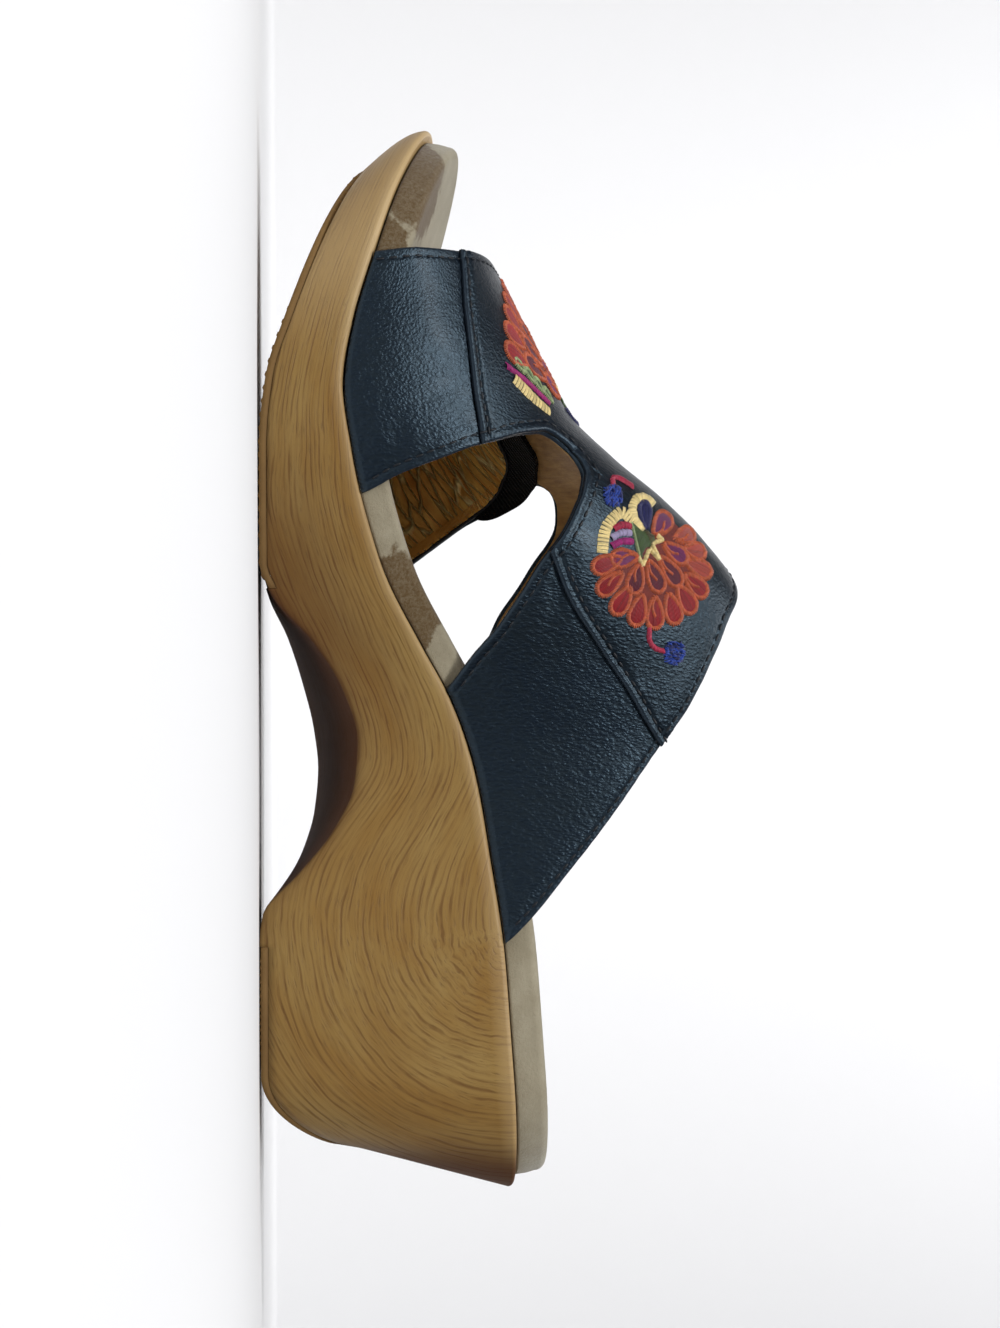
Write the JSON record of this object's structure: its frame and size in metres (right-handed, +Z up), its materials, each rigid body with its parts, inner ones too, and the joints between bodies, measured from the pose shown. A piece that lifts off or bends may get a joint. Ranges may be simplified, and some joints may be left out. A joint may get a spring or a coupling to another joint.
{
  "type": "slide sandal",
  "caption": "Backless wedge-heel slide sandal with an open toe, side cut-outs and a padded footbed, for the right foot.",
  "frame": {"origin": "on the floor, under the middle of the whole shoe", "axes": "+X towards the toe, +Y towards the inner (big toe) side, +Z up"},
  "size_m": [0.2442, 0.092, 0.1103],
  "materials": {
    "moulded_wood_look": "satin moulded polyurethane with a printed wood grain",
    "tread_rubber": "matt tan rubber with fine ribs",
    "suede": "matt beige suede with darker worn patches",
    "leather": "semi-gloss blue-black leather with a fine grain",
    "panel_leather": "semi-gloss blue-black leather, edge-stitched and embroidered",
    "gore": "matt black elastic webbing",
    "lining": "crinkled metallic old-gold lining",
    "thread": "black sewing thread",
    "embroidery": "satin-stitched floss in red, orange, magenta, cream, green and blue"
  },
  "bodies": {
    "root": {"sole_unit": "moulded_wood_look", "forefoot_outsole": "tread_rubber", "heel_top_piece": "tread_rubber", "footbed": "suede", "upper": "leather", "top_panel": "panel_leather", "elastic_gore": "gore"}
  },
  "joints": []
}
